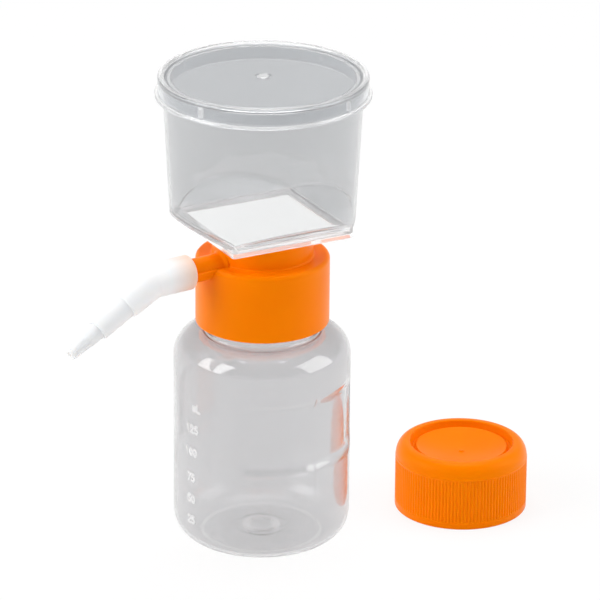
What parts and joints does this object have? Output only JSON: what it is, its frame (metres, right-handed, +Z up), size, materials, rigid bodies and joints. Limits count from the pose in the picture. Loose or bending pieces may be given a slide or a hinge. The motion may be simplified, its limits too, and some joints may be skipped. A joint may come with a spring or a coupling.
{
  "type": "vacuum filtration unit",
  "caption": "Clear lidded funnel on a square membrane tray, screwed to a storage bottle by an orange side-arm adapter, with a stepped hose connector and the bottle's cap beside it.",
  "frame": {"origin": "on the bottle's axis at bench height, in the shallow hollow under the base", "axes": "+Z up along the bottle's axis; the adapter's side arm points along -X"},
  "size_m": [0.1793, 0.0823, 0.1742],
  "materials": {
    "clear_polystyrene": "clear, smooth moulded polystyrene",
    "pale_elastomer": "pale, soft and matt",
    "orange_polyethylene": "opaque orange moulded polyethylene with a satin gloss",
    "milky_polyethylene": "milky translucent moulded polyethylene",
    "membrane_white": "white, matt and finely porous"
  },
  "bodies": {
    "bottle": {"bottle": "clear_polystyrene", "storage_cap": "orange_polyethylene"},
    "seal_washer": {"seal_washer": "pale_elastomer"},
    "filter": {"adapter": "orange_polyethylene", "base_plate": "clear_polystyrene", "membrane": "membrane_white", "funnel": "clear_polystyrene"},
    "hose_connector": {"hose_connector": "milky_polyethylene"},
    "lid": {"lid": "clear_polystyrene"}
  },
  "joints": [
    {"name": "filter_rise", "type": "slide", "parent": "bottle", "child": "seal_washer", "axis": [0, 0, 1], "range_m": [0, 0.006]},
    {"name": "filter_unscrew", "type": "hinge", "parent": "seal_washer", "child": "filter", "pos_m": [0, 0, 0.1], "axis": [0, 0, 1], "range_deg": [0, 540]},
    {"name": "lid_lift", "type": "slide", "parent": "filter", "child": "lid", "axis": [0, 0, 1], "range_m": [0, 0.012]},
    {"name": "connector_swivel", "type": "hinge", "parent": "filter", "child": "hose_connector", "pos_m": [-0.035, 0, 0.1068], "axis": [-1, 0, 0], "continuous": true}
  ],
  "couplings": [
    {"joint": "filter_rise", "follows": "filter_unscrew", "m_per_rad": 0.00063662}
  ]
}
